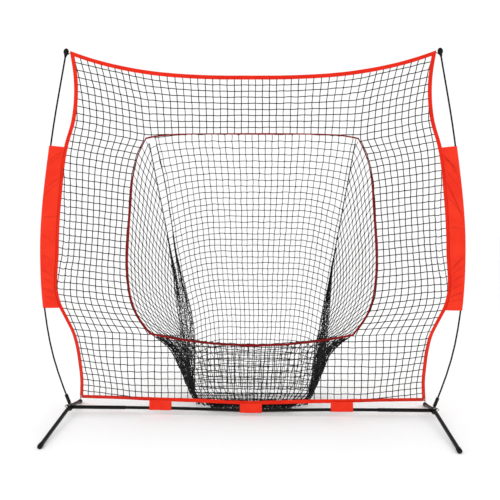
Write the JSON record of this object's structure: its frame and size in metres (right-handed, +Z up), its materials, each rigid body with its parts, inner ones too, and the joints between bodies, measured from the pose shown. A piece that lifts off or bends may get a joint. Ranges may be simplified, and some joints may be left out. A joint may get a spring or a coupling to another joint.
{
  "type": "pitching target net",
  "caption": "Bow-frame pitching target net: knotted net on two bowed poles over a steel crossbar with folding front legs, a piped target opening and a deep catch pocket.",
  "frame": {"origin": "on the ground at the centre of the footprint", "axes": "+X along the crossbar, +Y back into the pocket (the pitcher stands at -Y), +Z up"},
  "size_m": [2.4794, 1.1045, 2.1419],
  "materials": {
    "black_powder_coat": "satin black powder coat on steel",
    "zinc_plate": "bright zinc plate",
    "black_fibreglass": "pultruded fibreglass rod, black, semi-gloss",
    "black_plastic": "moulded black plastic, fine texture",
    "red_fabric": "woven polyester, red",
    "red_webbing": "folded woven tape, red",
    "dark_red_piping": "corded piping in dark red tape",
    "black_netting": "knotted twine netting, black",
    "black_cord": "braided elastic cord, black"
  },
  "bodies": {
    "net_frame": {"crossbar_tube_left": "black_powder_coat", "crossbar_tube_right": "black_powder_coat", "end_tube_left": "black_powder_coat", "end_tube_right": "black_powder_coat", "bar_spring_left": "zinc_plate", "bar_spring_right": "zinc_plate", "hub_bracket_left": "black_powder_coat", "hub_bracket_right": "black_powder_coat", "pole_socket_left": "black_powder_coat", "pole_socket_right": "black_powder_coat", "peg_loop_left": "black_powder_coat", "peg_loop_right": "black_powder_coat", "leg_pivot_bolt_left": "zinc_plate", "leg_pivot_bolt_right": "zinc_plate", "leg_pivot_nut_left": "zinc_plate", "leg_pivot_nut_right": "zinc_plate", "rear_leg_left": "black_powder_coat", "rear_leg_right": "black_powder_coat", "rear_foot_left": "black_plastic", "rear_foot_right": "black_plastic", "net_hook_left": "black_powder_coat", "net_hook_right": "black_powder_coat", "pole_lower_left": "black_fibreglass", "pole_lower_right": "black_fibreglass", "pole_middle_left": "black_fibreglass", "pole_middle_right": "black_fibreglass", "pole_upper_left": "black_fibreglass", "pole_upper_right": "black_fibreglass", "ferrule_lower_left": "zinc_plate", "ferrule_lower_right": "zinc_plate", "ferrule_upper_left": "zinc_plate", "ferrule_upper_right": "zinc_plate", "tip_cap_left": "black_plastic", "tip_cap_right": "black_plastic", "corner_loop_left": "black_cord", "corner_loop_right": "black_cord", "pole_sleeve_left": "red_fabric", "pole_sleeve_right": "red_fabric", "corner_eyelet_left": "zinc_plate", "corner_eyelet_right": "zinc_plate", "border_tape_left": "red_webbing", "border_tape_right": "red_webbing", "crossbar_spigot": "zinc_plate", "border_tape_top": "red_webbing", "border_tape_bottom": "red_webbing", "front_net": "black_netting", "opening_piping": "dark_red_piping", "pocket_net": "black_netting", "crossbar_strap_left": "red_fabric", "crossbar_strap_centre": "red_fabric", "crossbar_strap_right": "red_fabric"},
    "leg_left": {"front_leg_left": "black_powder_coat", "front_foot_left": "black_plastic"},
    "leg_right": {"front_leg_right": "black_powder_coat", "front_foot_right": "black_plastic"},
    "button_left": {"bar_button_left": "zinc_plate"},
    "button_right": {"bar_button_right": "zinc_plate"}
  },
  "joints": [
    {"name": "leg_left_fold", "type": "hinge", "parent": "net_frame", "child": "leg_left", "pos_m": [-1.07, 0.02525, 0.0495], "axis": [0, 0, 1], "range_deg": [0, 88]},
    {"name": "leg_right_fold", "type": "hinge", "parent": "net_frame", "child": "leg_right", "pos_m": [1.07, 0.02525, 0.0495], "axis": [0, 0, -1], "range_deg": [0, 88]},
    {"name": "bar_button_left_press", "type": "slide", "parent": "net_frame", "child": "button_left", "axis": [0, 0, 1], "range_m": [0, 0.0045], "stiffness_N_per_m": 500, "springref_m": -0.003, "deforming": ["bar_spring_left"]},
    {"name": "bar_button_right_press", "type": "slide", "parent": "net_frame", "child": "button_right", "axis": [0, 0, 1], "range_m": [0, 0.0045], "stiffness_N_per_m": 500, "springref_m": -0.003, "deforming": ["bar_spring_right"]}
  ]
}
